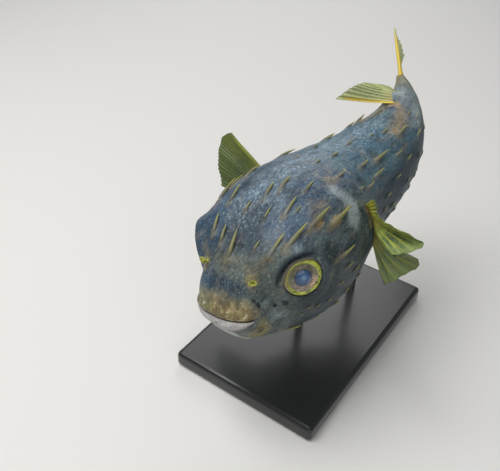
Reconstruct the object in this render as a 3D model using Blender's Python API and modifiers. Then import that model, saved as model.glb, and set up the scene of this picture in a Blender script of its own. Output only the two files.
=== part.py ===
"""Porcupine pufferfish, a still life-size model on a plain display stand.

The fish swims nose down with its tail swung to its right. Everything about the body is worked
out in the fish's own frame: +X to its left, +Y from the snout towards the tail, +Z up, with the
tip of the snout at the origin. An empty then tips that frame and lifts it over the stand, whose
underside is centred on the world origin. The fish faces -Y there.
"""
import math

import bmesh
import bpy
from mathutils import Matrix, Vector

# Driving dimensions, in metres and degrees unless a comment says otherwise
BODY_LENGTH = 0.235          # tip of the snout to the end of the tail stalk
COAT_DEPTH = 0.0015          # the solids stand this far outside the skin, for the low spines
GAP = 0.0003                 # left between neighbouring solids
NOSE_DOWN = 12.0             # pitch of the swimming fish
HOLD_STATION = 0.46          # this station of the body hangs over the middle of the stand
HOLD_HEIGHT = 0.112          # height of the body's axis there

# Body sections: station, half width, height above the axis, depth below it, all in body lengths
SECTIONS = (
    (0.00, 0.071, 0.050, 0.059), (0.03, 0.085, 0.074, 0.080), (0.08, 0.118, 0.112, 0.109),
    (0.15, 0.160, 0.148, 0.142), (0.23, 0.192, 0.173, 0.161), (0.34, 0.202, 0.188, 0.174),
    (0.47, 0.172, 0.165, 0.180), (0.60, 0.133, 0.142, 0.161), (0.72, 0.109, 0.124, 0.129),
    (0.82, 0.084, 0.099, 0.096), (0.91, 0.051, 0.064, 0.062), (1.00, 0.017, 0.038, 0.037),
)
# Bend of the axis: station, swing to the fish's right, climb, roll of its left side upwards
BEND = (
    (0.00, -2.0, -1.7, 11.5), (0.20, 0.5, 2.8, 11.5), (0.45, -5.7, -3.5, 10.0),
    (0.65, -13.8, 8.5, 9.0), (0.85, 10.6, 17.6, 9.0), (1.05, 55.0, 18.5, 9.0),
)
NOSE_ROUND = 0.038           # length over which the blunt snout closes, in body lengths
TAIL_END = 1.015             # station where the stalk's flesh ends, round the root of the tail fin
TAIL_ROUND = 0.022           # length over which it closes
HEAD_END = 0.36              # stations where the body is parted
TRUNK_END = 0.80
EXTRA_SQUARENESS = 0.5       # how much squarer than an ellipse the section is at the eyes

# Reliefs on the body: height, station, spread along, angle (0 side, 90 back, -90 belly), spread
BROW = (0.019, 0.168, 0.055, 43.0, 21.0)
MUZZLE_WAIST = (-0.024, 0.098, 0.028, 24.0, 30.0)
FOREHEAD_DENT = (-0.006, 0.170, 0.060, 90.0, 22.0)
PECTORAL_LOBE = (0.012, 0.440, 0.035, 12.0, 24.0)
DORSAL_LOBE = (0.036, 0.872, 0.028, 80.0, 24.0)
ANAL_LOBE = (0.014, 0.900, 0.035, -90.0, 30.0)
RELIEFS = (BROW, MUZZLE_WAIST, FOREHEAD_DENT, PECTORAL_LOBE, DORSAL_LOBE, ANAL_LOBE)

MOUTH_MIDDLE = 0.018         # mouth line above the axis, in body lengths
MOUTH_RISE = {"left": -0.004, "right": -0.014}   # from the middle to the corners, which droop
MOUTH_HALF = 0.089           # middle to corner
JAW_LENGTH = 0.034           # snout to the corner of the mouth
JAW_SLANT = 0.060            # how far the back of the jaw runs towards the throat
LIP_HEIGHT = 0.006           # swell of each lip
LIP_SPREAD = 0.016

EYE_STATION = 0.158
EYE_ANGLE = 18.6
EYE_RADIUS = 0.0118          # across the eyeball
EYE_DEPTH = 0.0037           # half its thickness
EYE_SINK = 0.0028            # its middle lies this far under the surface of the head
EYE_LOOK = (0.79, -0.55, 0.28)   # to the side, tailwards and up
SOCKET_REACH = 0.012         # how far the socket opens outwards from the eyeball's middle

NOSTRILS = {"left": (0.083, 54.0), "right": (0.089, 116.0)}      # station and angle
NOSTRIL_HEIGHT = 0.0042
NOSTRIL_RADIUS = 0.0023
NOSTRIL_LEAN = Vector((0.0, -0.25, 0.0))     # added to the normal of the head

FIN_THICKNESS = 0.0011
FIN_ROOT = 0.012             # how far a ray starts inside the body, in body lengths, before cutting

BASE_LENGTH = 0.170          # stand
BASE_WIDTH = 0.110
BASE_HEIGHT = 0.012
BASE_CORNER = 0.003
ROD_RADIUS = 0.003
ROD_STATIONS = (("front", 0.41), ("rear", 0.64))
ROD_SINK = 0.012             # length of rod inside the belly


# ---- small tools ----

def table_value(rows, column, at):
    """Smooth curve through one column of a table whose first column is the station."""
    xs = [row[0] for row in rows]
    ys = [row[column] for row in rows]
    slopes = [(ys[i + 1] - ys[i]) / (xs[i + 1] - xs[i]) for i in range(len(xs) - 1)]
    ends = [slopes[0]] + [(a + b) / 2 for a, b in zip(slopes, slopes[1:])] + [slopes[-1]]
    i = max(0, min(len(xs) - 2, sum(1 for x in xs if x <= at) - 1))
    span = xs[i + 1] - xs[i]
    t = min(1.0, max(0.0, (at - xs[i]) / span))
    return ((2 * t**3 - 3 * t**2 + 1) * ys[i] + (t**3 - 2 * t**2 + t) * span * ends[i]
            + (3 * t**2 - 2 * t**3) * ys[i + 1] + (t**3 - t**2) * span * ends[i + 1])


def bell(x, middle, spread):
    return math.exp(-((x - middle) / spread) ** 2)


def signed_power(value, exponent):
    return math.copysign(abs(value) ** exponent, value)


# ---- the body's shape, in the fish's own frame ----

def heading(station):
    """Direction towards the tail, the fish's left and its up at a station."""
    yaw = math.radians(table_value(BEND, 1, station))
    climb = math.radians(table_value(BEND, 2, station))
    tail = Vector((-math.sin(yaw) * math.cos(climb), math.cos(yaw) * math.cos(climb),
                   math.sin(climb)))
    level = Vector((math.cos(yaw), math.sin(yaw), 0.0))
    roll = math.radians(table_value(BEND, 3, station))
    left = level * math.cos(roll) + level.cross(tail) * math.sin(roll)
    return tail, left, left.cross(tail)


def build_axis(steps=240, last=1.2):
    points = [Vector((0.0, 0.0, 0.0))]
    for i in range(steps):
        points.append(points[-1] + heading((i + 0.5) * last / steps)[0] * (last / steps))
    return points, steps / last


AXIS, AXIS_RATE = build_axis()


def axis_point(station):
    place = min(max(station * AXIS_RATE, 0.0), len(AXIS) - 1.001)
    i = int(place)
    return AXIS[i].lerp(AXIS[i + 1], place - i)


def relief(station, angle):
    """Bulges and dents of the body, mirrored left and right, in body lengths."""
    mirrored = angle if math.cos(math.radians(angle)) >= 0 else 180 - angle
    side = (mirrored + 180) % 360 - 180
    total = 0.0
    for height, middle, along, where, around in RELIEFS:
        total += height * bell(station, middle, along) * bell(side, where, around)
    return total


def mouth_line(x):
    """Height of the mouth line at a distance x from the middle, in body lengths."""
    rise = MOUTH_RISE["left" if x > 0 else "right"]
    return MOUTH_MIDDLE + rise * min(1.5, (x / MOUTH_HALF) ** 2)


def section_point(station, angle, lift=0.0):
    """Point of the body at a station, turned by angle from its left side towards its back."""
    exponent = 2 / (2.2 + EXTRA_SQUARENESS * bell(station, 0.17, 0.14))
    across = signed_power(math.cos(math.radians(angle)), exponent)
    upward = signed_power(math.sin(math.radians(angle)), exponent)
    close = math.sqrt(max(0.0, 1 - max(0.0, 1 - station / NOSE_ROUND) ** 2))
    close *= math.sqrt(max(0.0, 1 - 0.6 * max(0.0, 1 - (TAIL_END - station) / TAIL_ROUND) ** 2))
    x = table_value(SECTIONS, 1, station) * across * close
    z = table_value(SECTIONS, 2 if upward > 0 else 3, station) * upward * close
    reach = math.hypot(x, z)
    if reach > 1e-9:
        lips = LIP_HEIGHT * bell(abs(z - mouth_line(x)), LIP_SPREAD, LIP_SPREAD * 0.7)
        lips *= bell(station, 0.0, JAW_LENGTH)
        grow = (reach + relief(station, angle) * close + lips + lift / BODY_LENGTH) / reach
        x *= grow
        z *= grow
    tail, left, up = heading(station)
    front = -lift / BODY_LENGTH * max(0.0, 1 - station / NOSE_ROUND)
    front += lift / BODY_LENGTH * max(0.0, 1 - (TAIL_END - station) / TAIL_ROUND)
    return (axis_point(station) + left * x + up * z + tail * front) * BODY_LENGTH


def surface_frame(station, angle, lift=0.0):
    """A point on the body with its outward normal."""
    point = section_point(station, angle, lift)
    along = section_point(station + 0.004, angle, lift) - section_point(station - 0.004, angle, lift)
    around = section_point(station, angle + 2, lift) - section_point(station, angle - 2, lift)
    return point, around.cross(along).normalized() * -1


# ---- objects and materials ----

def clear_scene():
    for item in list(bpy.data.objects):
        bpy.data.objects.remove(item, do_unlink=True)


def new_collection(name):
    collection = bpy.data.collections.new(name)
    bpy.context.scene.collection.children.link(collection)
    return collection


def make_material(name, colour, roughness, metallic=0.0):
    material = bpy.data.materials.new(name)
    material.use_nodes = True
    shader = material.node_tree.nodes["Principled BSDF"]
    shader.inputs["Base Color"].default_value = (*colour, 1.0)
    shader.inputs["Roughness"].default_value = roughness
    shader.inputs["Metallic"].default_value = metallic
    return material


def add_object(name, mesh, material, collection, parent=None, smooth=True):
    item = bpy.data.objects.new(name, mesh)
    collection.objects.link(item)
    item.parent = parent
    mesh.materials.append(material)
    if smooth:
        mesh.shade_smooth()
    return item


def mesh_from(bm, name):
    bmesh.ops.recalc_face_normals(bm, faces=bm.faces)
    mesh = bpy.data.meshes.new(name)
    bm.to_mesh(mesh)
    bm.free()
    return mesh


def boolean(item, cutter, operation="DIFFERENCE"):
    cut = item.modifiers.new(f"{operation.lower()}_{cutter.name}", "BOOLEAN")
    cut.operation = operation
    cut.object = cutter
    cut.solver = "EXACT"


def as_cutter(item):
    item.hide_render = True
    item.display_type = "WIRE"
    return item


def stations_between(first, last, rings):
    """Stations of a loft, crowded towards the snout where the body curves most."""
    if first > 0:
        return [first + (last - first) * i / rings for i in range(rings + 1)]
    nose = rings // 3
    spots = [NOSE_ROUND * (1 - math.cos(math.pi / 2 * i / nose)) for i in range(1, nose + 1)]
    rest = rings - nose
    return spots + [NOSE_ROUND + (last - NOSE_ROUND) * i / rest for i in range(1, rest + 1)]


def loft_mesh(name, first, last, rings, sides, lift=0.0):
    """A closed length of the body between two stations, pointed only at the snout."""
    bm = bmesh.new()
    loops = []
    for station in stations_between(first, last, rings):
        angles = [360 * (k + 0.5) / sides for k in range(sides)]
        loops.append([bm.verts.new(section_point(station, angle, lift)) for angle in angles])
    for one, two in zip(loops, loops[1:]):
        for k in range(sides):
            n = (k + 1) % sides
            bm.faces.new((one[k], one[n], two[n], two[k]))
    bm.faces.new(loops[-1])
    if first > 0:
        bm.faces.new(loops[0])
    else:
        tip = bm.verts.new(section_point(0.0, 0.0, lift))
        for k in range(sides):
            bm.faces.new((tip, loops[0][k], loops[0][(k + 1) % sides]))
    return mesh_from(bm, name)


# ---- flesh: head, lower jaw, trunk, tail stalk ----

def jaw_wedge(name, grow, materials, cutters, pose):
    """The block of space that holds the lower jaw, below the mouth line and before its corners."""
    bm = bmesh.new()
    bmesh.ops.create_cube(bm, size=1.0)
    across = [edge for edge in bm.edges if abs(edge.verts[0].co.x - edge.verts[1].co.x) > 0.5]
    bmesh.ops.subdivide_edges(bm, edges=across, cuts=15, use_grid_fill=True)
    tail, left, up = heading(0.0)
    for vert in bm.verts:
        low = vert.co.z < 0
        behind = vert.co.y > 0
        x = vert.co.x * 3 * MOUTH_HALF
        y = (JAW_LENGTH + (JAW_SLANT if low else 0.0)) if behind else -0.1
        z = -0.3 if low else mouth_line(x)
        y += grow / BODY_LENGTH if behind else 0.0
        z += 0.0 if low else grow / BODY_LENGTH
        vert.co = (left * x + tail * y + up * z) * BODY_LENGTH
    return as_cutter(add_object(name, mesh_from(bm, name), materials["skin"], cutters, pose,
                                smooth=False))


def turned_mesh(name, profile, steps):
    """A round solid turned about its own Z from a profile of (radius, height)."""
    bm = bmesh.new()
    verts = [bm.verts.new((radius, 0.0, height)) for radius, height in profile]
    edges = [bm.edges.new(pair) for pair in zip(verts, verts[1:])]
    bmesh.ops.spin(bm, geom=verts + edges, axis=(0, 0, 1), cent=(0, 0, 0), steps=steps,
                   angle=math.tau, use_merge=True)
    bmesh.ops.remove_doubles(bm, verts=bm.verts, dist=0.00001)
    return mesh_from(bm, name)


def eyeball_mesh(name):
    bm = bmesh.new()
    bmesh.ops.create_uvsphere(bm, u_segments=24, v_segments=12, radius=1.0)
    bmesh.ops.scale(bm, verts=bm.verts, vec=(EYE_RADIUS, EYE_RADIUS, EYE_DEPTH))
    return mesh_from(bm, name)


def socket_mesh(name, arc_steps=6):
    """The hollow for an eyeball: its inner half with a gap, then straight out through the skin."""
    wide, deep = EYE_RADIUS + GAP, EYE_DEPTH + GAP
    turns = [math.pi / 2 * i / arc_steps for i in range(arc_steps + 1)]
    profile = [(wide * math.sin(turn), -deep * math.cos(turn)) for turn in turns]
    return turned_mesh(name, profile + [(wide, SOCKET_REACH), (0.0, SOCKET_REACH)], 24)


def eye_place(side):
    """Where an eyeball sits and the way it looks; side is 1 for left and -1 for right."""
    angle = EYE_ANGLE if side > 0 else 180 - EYE_ANGLE
    point = surface_frame(EYE_STATION, angle)[0]
    tail, left, up = heading(EYE_STATION)
    look = (left * EYE_LOOK[0] * side + tail * EYE_LOOK[1] + up * EYE_LOOK[2]).normalized()
    return Matrix.Translation(point - look * EYE_SINK) @ look.to_track_quat("Z", "Y").to_matrix().to_4x4()


def build_head(materials, parts, cutters, pose):
    half = GAP / 2 / BODY_LENGTH
    head = add_object("head", loft_mesh("head", 0.0, HEAD_END - half, 25, 40, COAT_DEPTH),
                      materials["skin"], parts, pose)
    jaw = add_object("lower_jaw", loft_mesh("lower_jaw", 0.0, JAW_LENGTH + JAW_SLANT * 2, 18, 32,
                                            COAT_DEPTH), materials["skin"], parts, pose)
    boolean(head, jaw_wedge("jaw_space", GAP / 2, materials, cutters, pose))
    boolean(jaw, jaw_wedge("jaw_block", -GAP / 2, materials, cutters, pose), "INTERSECT")
    for label, side in (("left", 1), ("right", -1)):
        place = eye_place(side)
        socket = add_object(f"socket_{label}", socket_mesh(f"socket_{label}"),
                            materials["eye"], cutters, pose)
        socket.matrix_local = place
        boolean(head, as_cutter(socket))
        ball = add_object(f"eye_{label}", eyeball_mesh(f"eye_{label}"), materials["eye"],
                          parts, pose)
        ball.matrix_local = place


def build_trunk(materials, parts, pose):
    half = GAP / 2 / BODY_LENGTH
    trunk = add_object("trunk", loft_mesh("trunk", HEAD_END + half, TRUNK_END - half, 16, 40,
                                          COAT_DEPTH), materials["skin"], parts, pose)
    add_object("tail_stalk", loft_mesh("tail_stalk", TRUNK_END + half, TAIL_END, 14, 32, COAT_DEPTH),
               materials["skin"], parts, pose)
    return trunk


def build_nostrils(materials, parts, pose):
    """Each nostril opens in a small flared cup on a stalk."""
    profile = ((0.0, 0.0), (0.55, 0.0), (0.50, 0.35), (0.80, 0.70), (1.0, 1.0), (0.75, 1.02),
               (0.45, 0.70), (0.0, 0.60))
    profile = [(r * NOSTRIL_RADIUS, h * NOSTRIL_HEIGHT) for r, h in profile]
    for label, (station, angle) in NOSTRILS.items():
        cup = add_object(f"nasal_tentacle_{label}", turned_mesh(f"nasal_tentacle_{label}", profile, 16),
                         materials["fin"], parts, pose)
        point, normal = surface_frame(station, angle, COAT_DEPTH)
        lean = (normal + NOSTRIL_LEAN).normalized()
        clear = GAP + NOSTRIL_RADIUS * 0.55 * math.tan(lean.angle(normal))
        cup.matrix_local = (Matrix.Translation(point + normal * clear)
                            @ lean.to_track_quat("Z", "Y").to_matrix().to_4x4())


# ---- fins: each is an open sheet of rays, made solid by its thickness ----

# Left pectoral: place down the base (0 top, 1 bottom), lift above the side, sweep forwards, length
LEFT_PECTORAL = (
    (0.00, 38.0, 49.0, 0.118), (0.26, 22.5, 43.0, 0.118), (0.40, 4.0, 16.5, 0.176),
    (0.61, 6.0, 43.5, 0.146), (0.77, -3.0, 14.5, 0.148), (0.90, -50.0, 0.0, 0.128),
    (1.00, -78.0, 19.5, 0.140),
)
RIGHT_PECTORAL = (
    (0.00, 43.0, 4.0, 0.152), (0.25, 31.5, -1.0, 0.180), (0.50, 27.0, 4.0, 0.178),
    (0.75, 19.0, 7.0, 0.180), (1.00, 10.0, 10.0, 0.176),
)
PECTORAL_BASE = (0.440, 25.5, -11.0)     # station, top and bottom angle
PECTORAL_CURL = 0.012                    # how far the tips trail, in body lengths
# Dorsal and anal: place along the base (0 front, 1 rear), reach tailwards, left and up.
# Both fins flap to the fish's right as it sculls.
DORSAL_RAYS = (
    (0.00, -0.016, -0.166, 0.026), (0.25, -0.016, -0.110, 0.056), (0.50, -0.012, -0.068, 0.063),
    (0.75, -0.003, -0.040, 0.052), (1.00, 0.004, -0.024, 0.038),
)
ANAL_RAYS = (
    (0.00, 0.030, -0.143, -0.038), (0.30, 0.082, -0.122, -0.031), (0.60, 0.102, -0.086, -0.031),
    (1.00, 0.070, -0.034, -0.025),
)
# Front and rear end of their bases: angle, station, rise of the rays' roots over the body
DORSAL_BASE = ((94.0, 0.850, -0.004), (104.0, 0.920, -0.006))
ANAL_BASE = ((-90.0, 0.865, 0.004), (-90.0, 0.935, 0.004))
# Tail fin, in body lengths and degrees
CAUDAL_ROOT = 0.030                      # half the height of its base
CAUDAL_SPREAD = 16.0                     # how far its outer rays turn up and down
CAUDAL_LENGTH = 0.182                    # its middle ray
CAUDAL_ROUND = 0.016                     # how much shorter the outer rays are
CAUDAL_LAG = (0.10, 0.01)                # turn to the left: at the top ray, and added at the bottom
CAUDAL_CURL = 0.02                       # bend of the middle ray's tip to the left


def sheet_object(name, grid, materials, parts, pose, cutter):
    """Solid fin from a grid of points: rows are rays, columns run out along them."""
    rows, columns = len(grid), len(grid[0])
    bm = bmesh.new()
    bmesh.ops.create_grid(bm, x_segments=rows - 1, y_segments=columns - 1, size=1.0)
    for vert in bm.verts:
        row = round((vert.co.x + 1) / 2 * (rows - 1))
        column = round((vert.co.y + 1) / 2 * (columns - 1))
        vert.co = grid[row][column]
    mesh = bpy.data.meshes.new(name)
    bm.to_mesh(mesh)
    bm.free()
    fin = add_object(name, mesh, materials["fin"], parts, pose)
    solid = fin.modifiers.new("thickness", "SOLIDIFY")
    solid.thickness = FIN_THICKNESS
    solid.offset = 0.0
    solid.use_even_offset = True
    boolean(fin, cutter)
    return fin


def ray_points(root, direction, curl, length, columns):
    """A ray from inside its base outwards, bending by curl towards its tip."""
    points = []
    for k in range(columns):
        run = -FIN_ROOT + (length + FIN_ROOT) * k / (columns - 1)
        bend = curl * max(0.0, run / length) ** 2
        points.append(root + (direction * run + bend) * BODY_LENGTH)
    return points


def pectoral_grid(table, side, rays=19, columns=7):
    station, top, bottom = PECTORAL_BASE
    tail, left, up = heading(station)
    grid = []
    for k in range(rays):
        t = k / (rays - 1)
        angle = top + (bottom - top) * t
        lift, sweep, length = (table_value(table, c, t) for c in (1, 2, 3))
        lift, sweep = math.radians(lift), math.radians(sweep)
        direction = (left * side * math.cos(lift) * math.cos(sweep)
                     - tail * math.cos(lift) * math.sin(sweep) + up * math.sin(lift))
        root = section_point(station, angle if side > 0 else 180 - angle)
        grid.append(ray_points(root, direction, tail * PECTORAL_CURL, length, columns))
    return grid


def median_grid(table, base, rays=13, columns=6):
    """A dorsal or anal fin: each ray reaches tailwards, left and up by the table's amounts."""
    grid = []
    for k in range(rays):
        t = k / (rays - 1)
        angle, station, rise = (front + (rear - front) * t for front, rear in zip(*base))
        tail, left, up = heading(station)
        reach = sum((axis * table_value(table, c + 1, t) for c, axis in enumerate((tail, left, up))),
                    Vector())
        root = section_point(station, angle) + up * rise * BODY_LENGTH
        grid.append(ray_points(root, reach.normalized(), Vector(), reach.length, columns))
    return grid


def caudal_grid(rays=13, columns=8):
    """The tail fin spreads from the end of the stalk, its lower rays lagging to the left."""
    tail, left, up = heading(1.0)
    middle = axis_point(1.0) * BODY_LENGTH
    grid = []
    for k in range(rays):
        t = 1 - 2 * k / (rays - 1)
        root = middle + up * (t * CAUDAL_ROOT * BODY_LENGTH)
        spread = math.radians(CAUDAL_SPREAD * t)
        lag = CAUDAL_LAG[0] + CAUDAL_LAG[1] * (1 - t) / 2
        direction = (tail * math.cos(spread) + up * math.sin(spread) + left * lag).normalized()
        length = CAUDAL_LENGTH - CAUDAL_ROUND * t * t
        grid.append(ray_points(root, direction, left * (CAUDAL_CURL * (1 - t)), length, columns))
    return grid


def build_fins(materials, parts, cutters, pose):
    clearance = {}
    for flesh, first, last, rings, sides in (
            ("trunk", 0.30, TRUNK_END, 30, 40),
            ("stalk", TRUNK_END + GAP / 2 / BODY_LENGTH, TAIL_END, 14, 32)):
        mesh = loft_mesh(f"{flesh}_clearance", first, last, rings, sides, COAT_DEPTH + GAP)
        clearance[flesh] = as_cutter(add_object(f"{flesh}_clearance", mesh, materials["skin"],
                                                cutters, pose))
    fins = (
        ("pectoral_fin_left", pectoral_grid(LEFT_PECTORAL, 1), "trunk"),
        ("pectoral_fin_right", pectoral_grid(RIGHT_PECTORAL, -1), "trunk"),
        ("dorsal_fin", median_grid(DORSAL_RAYS, DORSAL_BASE), "stalk"),
        ("anal_fin", median_grid(ANAL_RAYS, ANAL_BASE), "stalk"),
        ("caudal_fin", caudal_grid(), "stalk"),
    )
    for name, grid, flesh in fins:
        sheet_object(name, grid, materials, parts, pose, clearance[flesh])


# ---- stand ----

def upright_rod(name, radius, foot, low, top, material, collection):
    """A plain cylinder standing at foot, from one height to another."""
    bm = bmesh.new()
    bmesh.ops.create_cone(bm, cap_ends=True, segments=24, radius1=radius, radius2=radius,
                          depth=top - low)
    rod = add_object(name, mesh_from(bm, name), material, collection, smooth=False)
    rod.location = (foot.x, foot.y, (low + top) / 2)
    return rod


def build_stand(materials, parts, cutters, pose, trunk):
    bm = bmesh.new()
    bmesh.ops.create_cube(bm, size=1.0)
    bmesh.ops.scale(bm, verts=bm.verts, vec=(BASE_WIDTH, BASE_LENGTH, BASE_HEIGHT))
    base = add_object("stand_base", mesh_from(bm, "stand_base"), materials["base"], parts,
                      smooth=False)
    base.location = (0, 0, BASE_HEIGHT / 2)
    rounding = base.modifiers.new("corners", "BEVEL")
    rounding.width = BASE_CORNER
    rounding.segments = 3
    for label, station in ROD_STATIONS:
        below = -90 - table_value(BEND, 3, station)
        belly = pose.matrix_world @ section_point(station, below, COAT_DEPTH)
        top = belly.z + ROD_SINK
        upright_rod(f"stand_rod_{label}", ROD_RADIUS, belly, BASE_HEIGHT + GAP, top,
                    materials["rod"], parts)
        hole = upright_rod(f"rod_hole_{label}", ROD_RADIUS + GAP, belly, 0.0, top + GAP,
                           materials["rod"], cutters)
        boolean(trunk, as_cutter(hole))


def main():
    clear_scene()
    parts = new_collection("porcupine_pufferfish")
    cutters = new_collection("cutters")
    materials = {
        "skin": make_material("skin", (0.110, 0.140, 0.180), 0.45),
        "eye": make_material("eye", (0.300, 0.330, 0.080), 0.10),
        "fin": make_material("fin", (0.450, 0.420, 0.090), 0.40),
        "base": make_material("base", (0.020, 0.020, 0.022), 0.35),
        "rod": make_material("rod", (0.550, 0.550, 0.560), 0.30, 1.0),
    }
    pose = bpy.data.objects.new("fish_pose", None)
    parts.objects.link(pose)
    tilt = Matrix.Rotation(math.radians(NOSE_DOWN), 4, "X")
    hold = tilt @ (axis_point(HOLD_STATION) * BODY_LENGTH)
    pose.rotation_euler = tilt.to_euler()
    pose.location = Vector((0, 0, HOLD_HEIGHT)) - hold
    bpy.context.view_layer.update()
    build_head(materials, parts, cutters, pose)
    trunk = build_trunk(materials, parts, pose)
    build_nostrils(materials, parts, pose)
    build_fins(materials, parts, cutters, pose)
    build_stand(materials, parts, cutters, pose, trunk)


main()
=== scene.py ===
# porcupine pufferfish on its stand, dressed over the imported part
import math

import bpy
import numpy as np
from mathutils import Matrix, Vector


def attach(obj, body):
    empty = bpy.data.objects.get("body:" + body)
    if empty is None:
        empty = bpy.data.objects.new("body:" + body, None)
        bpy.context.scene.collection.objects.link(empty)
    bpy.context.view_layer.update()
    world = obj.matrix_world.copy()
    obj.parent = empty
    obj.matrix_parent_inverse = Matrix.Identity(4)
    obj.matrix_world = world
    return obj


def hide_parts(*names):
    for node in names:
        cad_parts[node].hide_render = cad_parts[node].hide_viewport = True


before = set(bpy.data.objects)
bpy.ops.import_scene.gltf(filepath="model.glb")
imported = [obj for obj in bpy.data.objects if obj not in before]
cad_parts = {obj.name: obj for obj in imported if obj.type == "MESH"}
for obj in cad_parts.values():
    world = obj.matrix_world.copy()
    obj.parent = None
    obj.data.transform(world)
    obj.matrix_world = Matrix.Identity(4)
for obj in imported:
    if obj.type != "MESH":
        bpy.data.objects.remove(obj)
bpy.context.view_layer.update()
mm = 0.001
rng = np.random.default_rng(7)

# the body's shape is the part's own, in the fish's frame: +X its left, +Y towards the tail
body = {
    "length": 0.235,  # tip of the snout to the end of the tail stalk
    "noseDown": 12.0,
    "holdStation": 0.46,
    "holdHeight": 0.112,
    "noseRound": 0.038,
    "tailEnd": 1.015,
    "tailRound": 0.022,
    "squareness": 0.5,
    # station, half width, height over the axis, depth under it
    "sections": np.array((
        (0.00, 0.071, 0.050, 0.059), (0.03, 0.085, 0.074, 0.080), (0.08, 0.118, 0.112, 0.109),
        (0.15, 0.160, 0.148, 0.142), (0.23, 0.192, 0.173, 0.161), (0.34, 0.202, 0.188, 0.174),
        (0.47, 0.172, 0.165, 0.180), (0.60, 0.133, 0.142, 0.161), (0.72, 0.109, 0.124, 0.129),
        (0.82, 0.084, 0.099, 0.096), (0.91, 0.051, 0.064, 0.062), (1.00, 0.017, 0.038, 0.037))),
    # station, swing to the fish's right, climb, roll of its left side upwards
    "bend": np.array((
        (0.00, -2.0, -1.7, 11.5), (0.20, 0.5, 2.8, 11.5), (0.45, -5.7, -3.5, 10.0),
        (0.65, -13.8, 8.5, 9.0), (0.85, 10.6, 17.6, 9.0), (1.05, 55.0, 18.5, 9.0))),
    # height, station, spread along, angle (0 side, 90 back), spread around
    "reliefs": (
        (0.019, 0.168, 0.055, 43.0, 21.0), (-0.024, 0.098, 0.028, 24.0, 30.0),
        (-0.006, 0.170, 0.060, 90.0, 22.0), (0.012, 0.440, 0.035, 12.0, 24.0),
        (0.036, 0.880, 0.025, 84.0, 27.0), (0.014, 0.900, 0.035, -90.0, 30.0)),
}
mouth = {"middle": 0.018, "rise": -0.004, "rightRise": -0.014, "half": 0.089, "jaw": 0.034, "lip": 0.006,
         "spread": 0.016}
eye = {"station": 0.158, "angle": 18.6, "radius": 11.8 * mm, "sink": 1.5 * mm, "cover": 1.9 * mm,
       "look": (0.79, -0.55, 0.28)}
nostril = {"left": (0.083, 54.0), "right": (0.089, 116.0), "height": 3.9 * mm, "radius": 1.9 * mm}


def curveThrough(rows, column, at):
    xs, ys = rows[:, 0], rows[:, column]
    secants = np.diff(ys) / np.diff(xs)
    slopes = np.concatenate((secants[:1], (secants[1:] + secants[:-1]) / 2, secants[-1:]))
    i = np.clip(np.searchsorted(xs, at, side="right") - 1, 0, len(xs) - 2)
    span = xs[i + 1] - xs[i]
    t = np.clip((at - xs[i]) / span, 0, 1)
    return ((2 * t**3 - 3 * t**2 + 1) * ys[i] + (t**3 - 2 * t**2 + t) * span * slopes[i]
            + (3 * t**2 - 2 * t**3) * ys[i + 1] + (t**3 - t**2) * span * slopes[i + 1])


def bell(x, middle, spread):
    return np.exp(-((x - middle) / spread) ** 2)


def smooth(x, low, high):
    # 0 at low, 1 at high, whichever is the greater
    t = np.clip((x - low) / (high - low), 0, 1)
    return t * t * (3 - 2 * t)


def unit(v):
    return v / np.maximum(np.linalg.norm(v, axis=-1, keepdims=True), 1e-12)


def heading(station):
    # towards the tail, to the fish's left, and its up
    station = np.asarray(station, float)
    yaw, climb, roll = (np.radians(curveThrough(body["bend"], k, station)) for k in (1, 2, 3))
    tail = np.stack((-np.sin(yaw) * np.cos(climb), np.cos(yaw) * np.cos(climb), np.sin(climb)), -1)
    level = np.stack((np.cos(yaw), np.sin(yaw), np.zeros_like(yaw)), -1)
    roll = roll[..., None]
    left = level * np.cos(roll) + np.cross(level, tail) * np.sin(roll)
    return tail, left, np.cross(left, tail)


axisSteps, axisLast = 240, 1.2
axisLine = np.concatenate((np.zeros((1, 3)), np.cumsum(
    heading((np.arange(axisSteps) + 0.5) * axisLast / axisSteps)[0] * axisLast / axisSteps, axis=0)))


def axisPoint(station):
    place = np.linspace(0, axisLast, axisSteps + 1)
    return np.stack([np.interp(station, place, axisLine[:, k]) for k in range(3)], -1)


def sideOf(angle):
    # the angle mirrored to the left side: 0 at the side, 90 on the back, -90 on the belly
    mirrored = np.where(np.cos(np.radians(angle)) >= 0, angle, 180 - angle)
    return (mirrored + 180) % 360 - 180


def mouthLine(x):
    droop = np.where(x < 0, mouth["rightRise"], mouth["rise"])
    return mouth["middle"] + droop * np.minimum(1.5, (x / mouth["half"]) ** 2)


def crossSection(station, angle):
    # across and upward from the axis, in body lengths
    turn = np.radians(angle)
    power = 2 / (2.2 + body["squareness"] * bell(station, 0.17, 0.14))
    across, upward = (np.sign(wave) * np.abs(wave) ** power for wave in (np.cos(turn), np.sin(turn)))
    close = np.sqrt(np.maximum(0, 1 - np.maximum(0, 1 - station / body["noseRound"]) ** 2))
    close = close * np.sqrt(np.maximum(
        0, 1 - 0.6 * np.maximum(0, 1 - (body["tailEnd"] - station) / body["tailRound"]) ** 2))
    wide, high, deep = (curveThrough(body["sections"], k, station) for k in (1, 2, 3))
    x, z = wide * across * close, np.where(upward > 0, high, deep) * upward * close
    reach = np.maximum(np.hypot(x, z), 1e-9)
    side, swell = sideOf(angle), 0
    for height, middle, along, where, around in body["reliefs"]:
        swell = swell + height * bell(station, middle, along) * bell(side, where, around)
    lips = mouth["lip"] * bell(np.abs(z - mouthLine(x)), mouth["spread"], mouth["spread"] * 0.7)
    grow = (reach + swell * close + lips * bell(station, 0.0, mouth["jaw"])) / reach
    return x * grow, z * grow


def bodyPoint(station, angle):
    station, angle = np.broadcast_arrays(np.asarray(station, float), np.asarray(angle, float))
    x, z = crossSection(station, angle)
    _, left, up = heading(station)
    return (axisPoint(station) + left * x[..., None] + up * z[..., None]) * body["length"]


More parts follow.
